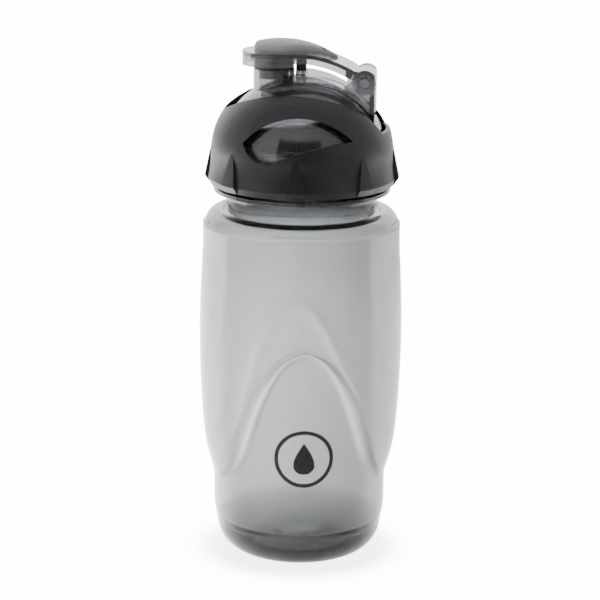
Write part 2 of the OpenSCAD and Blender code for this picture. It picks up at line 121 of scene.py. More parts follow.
# The camera, in metres, and the picture that it fills
PICTURE_PX = 600
FOCAL_PX = 2605
SHIFT_PX = -0.8
CAMERA_REACH = 0.9
CAMERA_HEIGHT = 0.3225
CAMERA_TURN = math.radians(4.0)
CAMERA_PITCH = math.radians(14.36)
CAMERA_ROLL = math.radians(0.55)

# The two sheets: half a side in millimetres, how much light they return, the table's height
FLOOR_SPAN_MM = 6000
FLOOR_ALBEDO = 0.9
TABLE_DROP = -0.3
# Each grade of the table's colour: from and to, in metres, then its share of light at the two ends.
# The grades are painted light and shade: a painted shadow in front of the bottle, painted light
# close behind it and to the left, painted shade further back and to the right
TABLE_NEAR_PAINTED_SHADE = (-0.035, 0.035)
TABLE_FAR_PAINTED_LIGHT_SHADE = (0.25, 0.55, 1.3, 0.7)
TABLE_ACROSS_PAINTED_LIGHT_SHADE = (-0.07, 0.03, 1.45, 0.7)
# The light that the dark opening still gives
STUDIO_DUSK = 0.12


# ---------------------------------------------------------------- helpers


def linear(hex_colour, alpha=1.0):
    """sRGB hex to the linear colour that shaders work in."""
    out = []
    for i in (1, 3, 5):
        c = int(hex_colour[i : i + 2], 16) / 255
        out.append(c / 12.92 if c <= 0.04045 else ((c + 0.055) / 1.055) ** 2.4)
    return (*out, alpha)


def add(tree, kind, inputs=None, **settings):
    """Adds a node with its settings; an input that is a socket is linked, any other is set."""
    made = tree.nodes.new(kind)
    for key, value in settings.items():
        setattr(made, key, value)
    for key, value in (inputs or {}).items():
        if isinstance(value, bpy.types.NodeSocket):
            tree.links.new(value, made.inputs[key])
        else:
            made.inputs[key].default_value = value
    return made


def maths(tree, operation, a, b=0.0):
    return add(tree, "ShaderNodeMath", {0: a, 1: b}, operation=operation).outputs[0]


def graded(tree, value, low, high, first=0.0, last=1.0):
    """A smooth step from first to last, as the value goes from low to high."""
    return add(tree, "ShaderNodeMapRange", {"Value": value, "From Min": low, "From Max": high,
               "To Min": first, "To Max": last},
               interpolation_type="SMOOTHSTEP").outputs["Result"]


def new_tree(name):
    material = bpy.data.materials.new(name)
    material.use_nodes = True
    material.node_tree.nodes.clear()
    return material, material.node_tree


def mesh_piece(name, points, faces, sharp=35.0):
    """A mesh object from points in millimetres; edges steeper than sharp stay crisp."""
    mesh = bpy.data.meshes.new(name)
    mesh.from_pydata([tuple(p) for p in np.asarray(points, float) * MM], [], faces)
    mesh.validate()
    shape = bmesh.new()
    shape.from_mesh(mesh)
    bmesh.ops.recalc_face_normals(shape, faces=shape.faces)
    shape.to_mesh(mesh)
    shape.free()
    mesh.update()
    mesh.shade_smooth()
    mesh.set_sharp_from_angle(angle=math.radians(sharp))
    piece = bpy.data.objects.new(name, mesh)
    bpy.context.scene.collection.objects.link(piece)
    return piece


def ring_rows(rows, close_ends=True, close_loop=False):
    """Points and faces of a skin through rings of equal length, given from the outside in."""
    rows = np.asarray(rows, float)
    m, n, _ = rows.shape
    points = rows.reshape(-1, 3)
    faces = []
    last = m if close_loop else m - 1
    for i in range(last):
        a, b = i * n, ((i + 1) % m) * n
        faces += [(a + j, a + (j + 1) % n, b + (j + 1) % n, b + j) for j in range(n)]
    if close_ends and not close_loop:
        points = np.vstack([points, rows[0].mean(0), rows[-1].mean(0)])
        first, final, tail = m * n, m * n + 1, (m - 1) * n
        faces += [((j + 1) % n, j, first) for j in range(n)]
        faces += [(tail + j, tail + (j + 1) % n, final) for j in range(n)]
    return points, faces


def rounded(corners, steps=5):
    """A line through (r, z, radius) corners, each rounded by its own radius."""
    out = []
    for i, (x, y, radius) in enumerate(corners):
        here = Vector((x, y))
        if radius <= 0 or i in (0, len(corners) - 1):
            out.append((x, y))
            continue
        back = Vector(corners[i - 1][:2]) - here
        on = Vector(corners[i + 1][:2]) - here
        half = back.angle(on) / 2
        run = min(radius / math.tan(half), back.length * 0.48, on.length * 0.48)
        true_r = run * math.tan(half)
        middle = (back.normalized() + on.normalized()).normalized()
        centre = here + middle * (true_r / math.sin(half))
        a = here + back.normalized() * run - centre
        b = here + on.normalized() * run - centre
        turn = a.angle_signed(b)
        for k in range(steps + 1):
            t = -turn * k / steps
            out.append((centre.x + a.x * math.cos(t) - a.y * math.sin(t),
                        centre.y + a.x * math.sin(t) + a.y * math.cos(t)))
    return out


def lathe(profile, turns, axis=(0.0, 0.0)):
    """Rings from a (radius, height) profile about an upright axis."""
    angle = np.linspace(0, 2 * math.pi, turns, endpoint=False)
    c, s = np.cos(angle), np.sin(angle)
    return np.array([np.stack([axis[0] + r * c, axis[1] + r * s, np.full(turns, z)], 1)
                     for r, z in profile])


# ---------------------------------------------------------------- the bottle's form


def core_radius(z):
    """Radius of the core that the grip arches are cut down to."""
    low = GRIP_R - np.maximum(GRIP_Z - z, 0) ** 2 / CORE_TAPER
    rise = np.clip((z - GRIP_Z) / (ARCH_TOP_Z - GRIP_Z), 0, 1.1)
    return low + (BARREL_R - ARCH_DEPTH - GRIP_R) * rise**2


def barrel_radius(z):
    """Radius of the round barrel outside the grip arches."""
    bow = (z - BARREL_PEAK_Z) ** 2 / BARREL_BOW
    return BARREL_R - bow - np.maximum(BARREL_TUCK_Z - z, 0) ** 2 / BARREL_TUCK


def arch_inside(x, z):
    """Distance inside the grip arch, in millimetres across its edge, negative outside it."""
    drop = ARCH_TOP_Z - z
    flare = np.maximum(drop - ARCH_FLARE_FROM, 0)
    spread = ARCH_WIDTH * drop
    narrow = np.where(drop > 0, 1 - ARCH_NARROW * drop, 1.0)
    half = np.sqrt(np.maximum(spread, 0)) * narrow + ARCH_FLARE * flare**2
    shape = np.where(drop > 0, half**2, spread) - x**2
    slope = np.where(drop > 0, ARCH_WIDTH + 2 * ARCH_FLARE * flare * half * 2, ARCH_WIDTH)
    return shape / np.sqrt(slope**2 + (2 * x) ** 2 + 1e-9)


def body_radius(angle, z, bevel):
    """Outer radius at an angle from the front face's middle, with the arch edges bevelled."""
    core, barrel = core_radius(z), barrel_radius(z)
    x = np.maximum(core, barrel) * np.sin(angle)
    inside = arch_inside(x, z)
    t = np.clip((inside + bevel * BEVEL_OUT) / bevel, 0, 1)
    cover = 1 - t * t * (3 - 2 * t)
    step = barrel - core
    proud = 0.5 * (step + np.sqrt(step**2 + MELT))
    proud -= MELT_SINK * np.exp(-np.maximum(-step, 0) / 2)
    return core + np.maximum(proud, 0) * cover


# ---------------------------------------------------------------- materials


def smoke_plastic(name, glass, dye_colour, density, haze, wave_mm, wave, round_mm=0.0, milk=0.0):
    """Clear moulded plastic with a smoke dye: grey where it is thick or seen edge-on.

    haze blurs what is seen through it, under a clear gloss, and milk is the share of light
    that its dye throws back; round_mm softens sharp edges."""
    material, tree = new_tree(name)
    place = add(tree, "ShaderNodeTexCoord")
    # slow waves left by blowing or moulding, which bend the highlights a little
    waves = add(tree, "ShaderNodeTexNoise", {"Vector": place.outputs["Object"],
                "Scale": 1 / (wave_mm * MM), "Detail": 1.0})
    # hairline handling marks, drawn at 0.6 mm so that they can show at all
    marks = add(tree, "ShaderNodeTexNoise", {"Vector": place.outputs["Object"],
                "Scale": 1 / (0.6 * MM), "Detail": 3.0})
    polish = add(tree, "ShaderNodeMapRange", {"Value": marks.outputs["Fac"], "From Min": 0.3,
                 "From Max": 0.7, "To Min": haze * 0.8, "To Max": haze * 1.2})
    bump = add(tree, "ShaderNodeBump", {"Height": waves.outputs["Fac"], "Strength": 1.0,
               "Distance": wave * MM})
    if round_mm:
        soft = add(tree, "ShaderNodeBevel", {"Radius": round_mm * MM}, samples=4)
        tree.links.new(soft.outputs["Normal"], bump.inputs["Normal"])
    shader = add(tree, "ShaderNodeBsdfPrincipled", {
        "Base Color": linear(glass), "Roughness": polish.outputs["Result"],
        "Transmission Weight": 1.0 - milk, "IOR": 1.54, "Normal": bump.outputs["Normal"],
        "Coat Weight": 0.6, "Coat Roughness": 0.03, "Coat IOR": 1.5})
    dye = add(tree, "ShaderNodeVolumeAbsorption", {"Color": dye_colour, "Density": density})
    add(tree, "ShaderNodeOutputMaterial", {"Surface": shader.outputs["BSDF"],
        "Volume": dye.outputs["Volume"]})
    return material


def moulded(name, dark, light, rough, grain_mm, grain, sheen=0.0, round_mm=0.0):
    """Opaque moulded plastic or rubber: a fine spark-eroded grain, and slight clouds that go
    from its dark to its light colour."""
    material, tree = new_tree(name)
    place = add(tree, "ShaderNodeTexCoord")
    pits = add(tree, "ShaderNodeTexNoise", {"Vector": place.outputs["Object"],
               "Scale": 1 / (grain_mm * MM), "Detail": 2.0})
    cloud = add(tree, "ShaderNodeTexNoise", {"Vector": place.outputs["Object"],
                "Scale": 1 / (14 * MM), "Detail": 2.0})
    tone = add(tree, "ShaderNodeValToRGB", {"Fac": cloud.outputs["Fac"]})
    tone.color_ramp.elements[0].position = 0.35
    tone.color_ramp.elements[0].color = dark
    tone.color_ramp.elements[1].position = 0.65
    tone.color_ramp.elements[1].color = light
    polish = add(tree, "ShaderNodeMapRange", {"Value": pits.outputs["Fac"], "From Min": 0.3,
                 "From Max": 0.7, "To Min": rough - 0.05, "To Max": rough + 0.05})
    bump = add(tree, "ShaderNodeBump", {"Height": pits.outputs["Fac"], "Strength": 0.6,
               "Distance": grain * MM})
    if round_mm:
        soft = add(tree, "ShaderNodeBevel", {"Radius": round_mm * MM}, samples=4)
        tree.links.new(soft.outputs["Normal"], bump.inputs["Normal"])
    shader = add(tree, "ShaderNodeBsdfPrincipled", {
        "Base Color": tone.outputs["Color"], "Roughness": polish.outputs["Result"],
        "IOR": 1.5, "Normal": bump.outputs["Normal"], "Sheen Weight": sheen})
    add(tree, "ShaderNodeOutputMaterial", {"Surface": shader.outputs["BSDF"]})
    return material


def drawn_steel(name):
    """Drawn stainless wire: fine lines along the pin, bright and slightly streaked."""
    material, tree = new_tree(name)
    place = add(tree, "ShaderNodeTexCoord")
    stretch = add(tree, "ShaderNodeMapping", {"Vector": place.outputs["Object"],
                  "Scale": (1 / (0.2 * MM), 1 / (8 * MM), 1 / (0.2 * MM))})
    lines = add(tree, "ShaderNodeTexNoise", {"Vector": stretch.outputs["Vector"], "Scale": 1.0,
                "Detail": 2.0})
    polish = add(tree, "ShaderNodeMapRange", {"Value": lines.outputs["Fac"], "From Min": 0.3,
                 "From Max": 0.7, "To Min": 0.22, "To Max": 0.38})
    shader = add(tree, "ShaderNodeBsdfPrincipled", {
        "Base Color": linear("#99989b"), "Metallic": 1.0, "Roughness": polish.outputs["Result"]})
    add(tree, "ShaderNodeOutputMaterial", {"Surface": shader.outputs["BSDF"]})
    return material


def pad_ink(name):
    """Pad-printed ink: nearly black, a little dry, thin enough to show faint mottling."""
    material, tree = new_tree(name)
    place = add(tree, "ShaderNodeTexCoord")
    mottle = add(tree, "ShaderNodeTexNoise", {"Vector": place.outputs["Object"],
                 "Scale": 1 / (0.8 * MM), "Detail": 3.0})
    tone = add(tree, "ShaderNodeValToRGB", {"Fac": mottle.outputs["Fac"]})
    tone.color_ramp.elements[0].color = linear("#1b1b1e")
    tone.color_ramp.elements[1].color = linear("#2b2b2f")
    shader = add(tree, "ShaderNodeBsdfPrincipled", {
        "Base Color": tone.outputs["Color"], "Roughness": 0.5})
    add(tree, "ShaderNodeOutputMaterial", {"Surface": shader.outputs["BSDF"]})
    return material


def dress(piece, material, body=None):
    piece.data.materials.clear()
    piece.data.materials.append(material)
    if body:
        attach(piece, body)
    return piece


# ---------------------------------------------------------------- settings


class BottleSizes(bpy.types.PropertyGroup):
    wall: bpy.props.FloatProperty(
        name="Wall", description="Wall of the blown bottle", default=1.3 * MM,
        unit="LENGTH", subtype="DISTANCE")
    arch_edge: bpy.props.FloatProperty(
        name="Arch edge", description="Width of the bevel round each grip arch", default=2.6 * MM,
        unit="LENGTH", subtype="DISTANCE")
    thread_pitch: bpy.props.FloatProperty(
        name="Thread pitch", description="Rise of the neck thread in one turn", default=4.0 * MM,
        unit="LENGTH", subtype="DISTANCE")
    print_width: bpy.props.FloatProperty(
        name="Print width", description="Diameter of the printed mark", default=21.0 * MM,
        unit="LENGTH", subtype="DISTANCE")


def colour_property(name, description, hex_colour):
    """A colour setting whose default is given as sRGB hex."""
    return bpy.props.FloatVectorProperty(
        name=name, description=description, subtype="COLOR", size=4, min=0.0, max=1.0,
        default=linear(hex_colour))


class BottleColours(bpy.types.PropertyGroup):
    bottle_dye: colour_property("Bottle dye", "Tint of the bottle's plastic", "#3a4249")
    neck_dye: colour_property("Neck dye", "Tint of the neck's thread", "#3d4347")
    cap_dye: colour_property("Cap dye", "Tint of the cap's plastic", "#3f3f46")
    skirt_dye: colour_property("Skirt dye", "Tint of the thread in the cap", "#3f3f42")
    lid_dye: colour_property("Lid dye", "Tint of the lid's plastic", "#3b3b4c")
    shell_dark: colour_property("Shell, dark", "Darkest clouds of the grip shell", "#17181c")
    shell_light: colour_property("Shell, light", "Lightest clouds of the grip shell", "#1c1d22")
    pad_dark: colour_property("Pad, dark", "Darkest clouds of the soft pad", "#949395")
    pad_light: colour_property("Pad, light", "Lightest clouds of the soft pad", "#9e9d9f")
    rubber_dark: colour_property("Rubber, dark", "Darkest clouds of gasket and plugs", "#1a1a1c")
    rubber_light: colour_property("Rubber, light", "Lightest clouds of gasket and plugs",
                                  "#242427")
    smoke_density: bpy.props.FloatProperty(
        name="Smoke", description="Strength of the smoke dye in the bottle, per metre",
        default=490.0, min=0.0)
    cap_density: bpy.props.FloatProperty(
        name="Cap smoke", description="Strength of the smoke dye in the cap and lid, per metre",
        default=440.0, min=0.0)


class BottleLight(bpy.types.PropertyGroup):
    floor: bpy.props.FloatProperty(
        name="Floor", description="Brightness of the pale floor", default=14.0)
    table: bpy.props.FloatProperty(
        name="Table", description="Brightness of the table that the bottle mirrors", default=2.55)
    # painted shadow: in front of the bottle the table's colour is cut to this share, standing in
    # for the bottle's shadow there
    near_table_painted_shade: bpy.props.FloatProperty(
        name="Near table", description="Share of the table's brightness in front of the bottle",
        default=0.22)
    fill: bpy.props.FloatProperty(
        name="Fill", description="Share of the overhead light that throws no shadow", default=0.35)
    front: bpy.props.FloatProperty(
        name="Front", description="Brightness of the studio's front and side walls", default=1.0)
    back: bpy.props.FloatProperty(
        name="Back", description="Brightness of the studio's back wall", default=1.4)
    shade: bpy.props.FloatProperty(
        name="Shade", description="Share of the light that the right wall gives", default=0.7)
    roof: bpy.props.FloatProperty(
        name="Roof", description="Share of the light that the ceiling gives", default=0.8)
    floor_size: bpy.props.FloatProperty(
        name="Floor light", description="Side of the square light over the pale floor",
        default=12.0, unit="LENGTH", subtype="DISTANCE")
    bank_width: bpy.props.FloatProperty(
        name="Bank width", description="Width of the light over the table", default=2.6,
        unit="LENGTH", subtype="DISTANCE")
    bank_length: bpy.props.FloatProperty(
        name="Bank length", description="Length of the light over the table", default=4.4,
        unit="LENGTH", subtype="DISTANCE")
    bank_front: bpy.props.FloatProperty(
        name="Bank front", description="Place of the front edge of the light over the table",
        default=-1.1, unit="LENGTH", subtype="DISTANCE")
    bank_height: bpy.props.FloatProperty(
        name="Bank height", description="Height of all three overhead lights", default=0.6,
        unit="LENGTH", subtype="DISTANCE")
    bank_spread: bpy.props.FloatProperty(
        name="Bank spread", description="Beam angle of the overhead lights, in degrees",
        default=14.0)


# ---------------------------------------------------------------- operators


def outer_below():
    """Outer profile of the base, from the middle of the push-up to the top of the corner."""
    base = rounded([(0.2, 4.1, 0), (5.3, 4.1, 0.4), (5.9, 3.5, 0.4), (8.6, 3.4, 0.6),
                    (9.4, 2.4, 0.6), (14.6, 0.0, 1.4), (17.6, 0.0, 0)])
    corner = [(FOOT_R + CORNER_R * math.sin(t), CORNER_R - CORNER_R * math.cos(t))
              for t in np.linspace(0, math.pi / 2, 18)[1:-1]]
    return base + corner


def shoulder_arc(wall, first, last, steps):
    """Points of the shoulder's round, drawn in by the wall, between two angles in degrees."""
    ring_r = float(barrel_radius(SHOULDER_MID_Z)) - SHOULDER_R
    radius = SHOULDER_R - wall
    return [(ring_r + radius * math.cos(t), SHOULDER_MID_Z + radius * math.sin(t))
            for t in np.radians(np.linspace(first, last, steps))]


def outer_above():
    """Outer profile of the groove, the waist, the support ring and the neck."""
    crest_r = shoulder_arc(0, 90, 90, 1)[0][0]
    mid_z = (RING_Z + RING_TOP_Z) / 2
    return rounded([
        (crest_r, SHOULDER_Z, 0), (GROOVE_R, SHOULDER_Z, 1.0), (GROOVE_R - 0.6, GROOVE_Z, 0.5),
        (WAIST_R, GROOVE_Z, 1.2), (WAIST_R + 0.6, GROOVE_Z + 3.5, 2.5), (27.2, RING_Z - 0.5, 0.5),
        (RING_R - 0.5, RING_Z, 0.3), (RING_R, RING_Z + 0.3, 0.2), (RING_R, mid_z - 0.15, 0.1),
        (RING_R - 0.25, mid_z, 0.05), (RING_R, mid_z + 0.15, 0.1), (RING_R, RING_TOP_Z - 0.3, 0.2),
        (RING_R - 0.3, RING_TOP_Z, 0.2), (NECK_R, RING_TOP_Z, 0.5), (NECK_R, RIM_Z - 0.5, 0),
        (NECK_R - 0.1, RIM_Z, 0.5), (BORE_R, RIM_Z, 0.5), (BORE_R, RIM_Z - 2, 0)], 4)


def inner_above(wall):
    """Inner profile of the neck and of the shoulder, which the outer one is drawn in to."""
    under_z = GROOVE_Z - wall * 0.8
    bend = rounded([(BORE_R, RIM_Z - 3, 0), (BORE_R, GROOVE_Z - 0.2, 1.8), (26.2, under_z, 1.6),
                    (GROOVE_R, under_z, 1.6), (29.6, SHOULDER_Z - wall - 0.3, 0.9),
                    shoulder_arc(wall, 66, 66, 1)[0] + (0,)], 5)
    return bend + shoulder_arc(wall, 60, 8, 9)


def inner_below():
    """Inner profile of the thick base, from its heel to the middle."""
    heel_r, heel_z = CORNER_R - 1.8, CORNER_R + 1.6
    heel = [(FOOT_R - 0.3 + heel_r * math.cos(t), heel_z - heel_r * math.sin(t))
            for t in np.linspace(0.12, math.pi / 2, 15)]
    middle = rounded([(FOOT_R - 1, heel_z - heel_r, 0), (13.6, 3.9, 1.5), (9.4, 5.6, 1.4),
                      (8.4, 6.6, 0.8), (5.6, 7.0, 0.5), (0.2, 7.0, 0)])
    return heel + middle


class BOTTLE_OT_body(bpy.types.Operator):
    """Blown bottle with grip arches, a stepped base, a groove and a support ring"""

    bl_idname = "bottle.body"
    bl_label = "Bottle body"

    def execute(self, context):
        sizes = context.scene.bottle_sizes
        wall, bevel = sizes.wall / MM, sizes.arch_edge / MM
        turns = BODY_TURNS
        angle = np.linspace(0, 2 * math.pi, turns, endpoint=False)

        def skin(heights, edge, inset):
            rings = []
            for z in heights:
                r = body_radius(angle + math.pi / 2, z, edge) - inset
                rings.append(np.stack([r * np.cos(angle), r * np.sin(angle), np.full(turns, z)], 1))
            return rings

        rows = list(lathe(outer_below(), turns))
        rows += skin(np.linspace(CORNER_R, SHOULDER_MID_Z, 250), bevel, 0)
        rows += list(lathe(shoulder_arc(0, 8, 84, 11) + outer_above() + inner_above(wall), turns))
        rows += skin(np.linspace(SHOULDER_MID_Z - 0.2, CORNER_R + 1.6, 190), bevel * 2, wall)
        rows += list(lathe(inner_below(), turns))
        piece = mesh_piece("blown_bottle", *ring_rows(rows), 60)
        piece.data.transform(Matrix.Rotation(BODY_TURN, 4, "Z"))
        colours = context.scene.bottle_colours
        # blown copolyester: a clear gloss over a light haze, with slow waves in the wall
        clear = smoke_plastic("smoke_copolyester_blown", "#f7f8f9", colours.bottle_dye,
                              colours.smoke_density, haze=0.16, wave_mm=26, wave=0.05)
        dress(piece, clear, "bottle")
        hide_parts("bottle_body")
        return {"FINISHED"}


def thread_ridge(name, root_r, crest_r, low_z, turns, pitch, start):
    """A right-handed screw ridge between two radii, which fades out at both ends."""
    half_root, half_crest = pitch * 0.225, pitch * 0.11
    fade = math.radians(25)
    rows = []
    for t in np.linspace(0, turns * 2 * math.pi, int(turns * 96)):
        full = min(1.0, t / fade, (turns * 2 * math.pi - t) / fade)
        r = root_r + (crest_r - root_r) * max(full, 0.05)
        z = low_z + pitch * t / (2 * math.pi)
        c, s = math.cos(t + start), math.sin(t + start)
        rows.append([(root_r * c, root_r * s, z - half_root), (r * c, r * s, z - half_crest),
                     (r * c, r * s, z + half_crest), (root_r * c, root_r * s, z + half_root)])
    return mesh_piece(name, *ring_rows(rows))


class BOTTLE_OT_threads(bpy.types.Operator):
    """Screw thread on the neck and the one inside the cap's skirt that runs in it"""

    bl_idname = "bottle.threads"
    bl_label = "Threads"

    def execute(self, context):
        pitch = context.scene.bottle_sizes.thread_pitch / MM
        colours = context.scene.bottle_colours
        sink = 0.05
        low_z = RING_TOP_Z + 3.4
        neck = thread_ridge("neck_thread", NECK_R - sink, NECK_R + 1.3, low_z, 2.1, pitch, 0.4)
        # the same copolyester as the bottle, glossier where the mould's insert formed it
        dress(neck, smoke_plastic("smoke_copolyester_thread", "#f7f8f9", colours.neck_dye,
              colours.smoke_density, haze=0.05, wave_mm=26, wave=0.02),
              "bottle")
        skirt = thread_ridge("skirt_thread", SKIRT_IN_R + sink, SKIRT_IN_R - 1.4, low_z + pitch / 2,
                             1.9, pitch, 0.4)
        # moulded SAN: clear and glassy, with a smoke dye
        dress(skirt, smoke_plastic("smoke_san_thread", "#f7f7f8", colours.skirt_dye,
              colours.cap_density, haze=0.05, wave_mm=12, wave=0.02), "cap")
        return {"FINISHED"}


def printed(name, outline, hole, ink):
    """A film of ink on the bottle's front, from an outline about the mark's middle.

    hole is the share of the outline that stays bare in its middle, 0 for none."""
    inner, outer = max(hole, 0.001), 1.0
    shares = np.linspace(inner, outer, 7)
    rows = []
    for lift, across in ((0.02, shares), (0.08, shares[::-1])):
        for share in across:
            u, v = outline[:, 0] * share, outline[:, 1] * share
            z = MARK_Z + v
            r = core_radius(z) + lift
            a = u / core_radius(MARK_Z) + BODY_TURN
            rows.append(np.stack([r * np.sin(a), -r * np.cos(a), z], 1))
    piece = mesh_piece(name, *ring_rows(rows, close_ends=hole == 0, close_loop=hole > 0))
    return dress(piece, ink, "bottle")


class BOTTLE_OT_mark(bpy.types.Operator):
    """Plain printed mark on the front: a water drop in a ring"""

    bl_idname = "bottle.mark"
    bl_label = "Printed mark"

    def execute(self, context):
        ring_r = context.scene.bottle_sizes.print_width / MM / 2
        # pad-printed ink: a dry dark film that lets a little mottling show
        ink = pad_ink("dark_pad_printed_ink")
        t = np.linspace(0, 2 * math.pi, 120, endpoint=False)
        circle = np.stack([ring_r * np.sin(t), ring_r * np.cos(t)], 1)
        printed("printed_ring", circle, 0.87, ink)
        drop = np.stack([ring_r * 0.5 * np.sin(t) * np.sin(t / 2) ** 1.4,
                         ring_r * (0.56 * np.cos(t) + 0.02)], 1)
        printed("printed_drop", drop, 0, ink)
        return {"FINISHED"}


class BOTTLE_OT_cap(bpy.types.Operator):
    """Clear dome cap with spout, vent and hinge ears, and the grip shell over it"""

    bl_idname = "bottle.cap"
    bl_label = "Cap"

    def execute(self, context):
        colours = context.scene.bottle_colours
        # moulded SAN: glassy, grey in its thick parts, a trace of milk from the dye
        dress(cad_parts["spout_cap"],
              smoke_plastic("smoke_san_moulded", "#f0f0f4", colours.cap_dye,
                            colours.cap_density, haze=0.08, wave_mm=12, wave=0.02,
                            round_mm=0.3, milk=0.02))
        # moulded ABS with a fine spark-eroded grain: a satin black with soft highlights
        dress(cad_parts["grip_shell"],
              moulded("black_abs_satin", colours.shell_dark, colours.shell_light, rough=0.38,
                      grain_mm=0.35, grain=0.03, round_mm=0.35))
        # drawn stainless wire: a grey shine that streaks along the pin
        dress(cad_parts["hinge_pin"], drawn_steel("stainless_wire_drawn"))
        # moulded silicone: nearly black and dull
        dress(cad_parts["neck_gasket"],
              moulded("dark_silicone_gasket", colours.rubber_dark, colours.rubber_light,
                      rough=0.45, grain_mm=0.5, grain=0.02))
        return {"FINISHED"}


def pad_outline(steps):
    """The pad's teardrop from above: a big round end, straight sides and a small tip."""
    lean = math.acos((PAD_R - PAD_TIP_R) / (PAD_TIP_X - PAD_X))
    tip = [(PAD_TIP_X, PAD_TIP_R, t) for t in np.linspace(-lean, lean, PAD_TIP_STEPS)]
    sides = np.linspace(0, 1, 16)[1:-1]
    end = [(PAD_X, PAD_R, t) for t in np.linspace(lean, 2 * math.pi - lean, steps)]
    points = [(x + r * math.cos(t), r * math.sin(t)) for x, r, t in tip]
    far = [(x + r * math.cos(t), r * math.sin(t)) for x, r, t in end]
    up = [np.array(points[-1]) * (1 - k) + np.array(far[0]) * k for k in sides]
    down = [np.array(far[-1]) * (1 - k) + np.array(points[0]) * k for k in sides]
    return np.array([*points, *up, *far, *down])


def lid_top(x):
    """Height of the lid's top face: flat over the spout, then falling in an arc."""
    return np.where(x < ARM_X, LID_TOP_Z,
                    LID_TOP_Z - ARM_R + np.sqrt(ARM_R**2 - np.maximum(x - ARM_X, 0) ** 2))


def pad_mesh(edge):
    """The soft pad: a crowned teardrop whose rim rounds over by the given radius."""
    outline = pad_outline(80)
    count = len(outline)
    # each ring is the outline drawn in towards the pad's spine
    spine = np.column_stack([np.clip(outline[:, 0], PAD_X, PAD_TIP_X), np.zeros(count)])
    run = np.linalg.norm(outline - spine, axis=1)
    bend = np.minimum(edge, 0.6 * run)
    rows = [np.column_stack([outline, lid_top(outline[:, 0]) - 0.3])]
    inward = [bend * (1 - math.cos(t)) for t in np.linspace(0, math.pi / 2, 9)]
    inward += [bend + (run - bend) * share for share in (0.2, 0.45, 0.7, 0.88, 0.97)]
    for deep in inward:
        share = (deep / run)[:, None]
        x, y = (outline * (1 - share) + spine * share).T
        across = PAD_ARC_R - PAD_CROSS_R + np.sqrt(PAD_CROSS_R**2 - y**2)
        crown = PEAK_Z - PAD_ARC_R + np.sqrt(across**2 - (x - PEAK_X) ** 2)
        drop = bend - np.sqrt(np.maximum(bend**2 - np.maximum(bend - deep, 0) ** 2, 0))
        rows.append(np.column_stack([x, y, crown - drop]))
    points, faces = ring_rows(rows, close_ends=False)
    # the first and last rings are closed by strips from side to side
    middle = PAD_TIP_STEPS // 2
    for first in (0, (len(rows) - 1) * count):
        for j in range(middle, middle + (count - 1) // 2):
            near, far = j, j + 1
            strip = [near, far, (2 * middle - far) % count, (2 * middle - near) % count]
            faces.append(tuple(first + k for k in dict.fromkeys(strip)))
    return mesh_piece("soft_pad", points, faces, 70)


def cut_slot(piece, middle, size):
    """Cuts a small upright slot into a piece."""
    half = np.array(size) / 2
    corners = [np.array(middle) + half * (i, j, k)
               for k in (-1, 1) for j in (-1, 1) for i in (-1, 1)]
    tool = mesh_piece("slot_tool", corners, [(0, 2, 3, 1), (4, 5, 7, 6), (0, 1, 5, 4),
                                             (2, 6, 7, 3), (0, 4, 6, 2), (1, 3, 7, 5)])
    cut = piece.modifiers.new("slot", "BOOLEAN")
    cut.object, cut.operation, cut.solver = tool, "DIFFERENCE", "EXACT"
    bpy.context.view_layer.update()
    shape = bpy.data.meshes.new_from_object(piece.evaluated_get(
        bpy.context.evaluated_depsgraph_get()))
    piece.modifiers.clear()
    piece.data = shape
    bpy.data.objects.remove(tool)


class BOTTLE_OT_lid(bpy.types.Operator):
    """Flip lid with its thumb pad and its two plugs"""

    bl_idname = "bottle.lid"
    bl_label = "Lid"

    def execute(self, context):
        colours = context.scene.bottle_colours
        # moulded SAN, a little more lavender and milky than the cap
        dress(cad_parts["flip_lid"],
              smoke_plastic("smoke_san_lid", "#f0f0f6", colours.lid_dye, colours.cap_density,
                            haze=0.09, wave_mm=12, wave=0.02, round_mm=0.3, milk=0.05))
        # soft-touch elastomer moulded on the lid: mid grey, matt, with a faint bloom
        pad = pad_mesh(PAD_EDGE_R)
        cut_slot(pad, SLOT_PLACE, SLOT_SIZE)
        dress(pad, moulded("grey_tpe_soft_touch", colours.pad_dark, colours.pad_light,
              rough=0.42, grain_mm=0.3, grain=0.02, sheen=0.1), "lid")
        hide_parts("lid_pad")
        # moulded silicone plugs: nearly black and dull
        dark = moulded("dark_silicone_moulded", colours.rubber_dark, colours.rubber_light,
                       rough=0.45, grain_mm=0.5, grain=0.02)
        dress(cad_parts["spout_plug"], dark)
        dress(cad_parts["vent_plug"], dark)
        return {"FINISHED"}


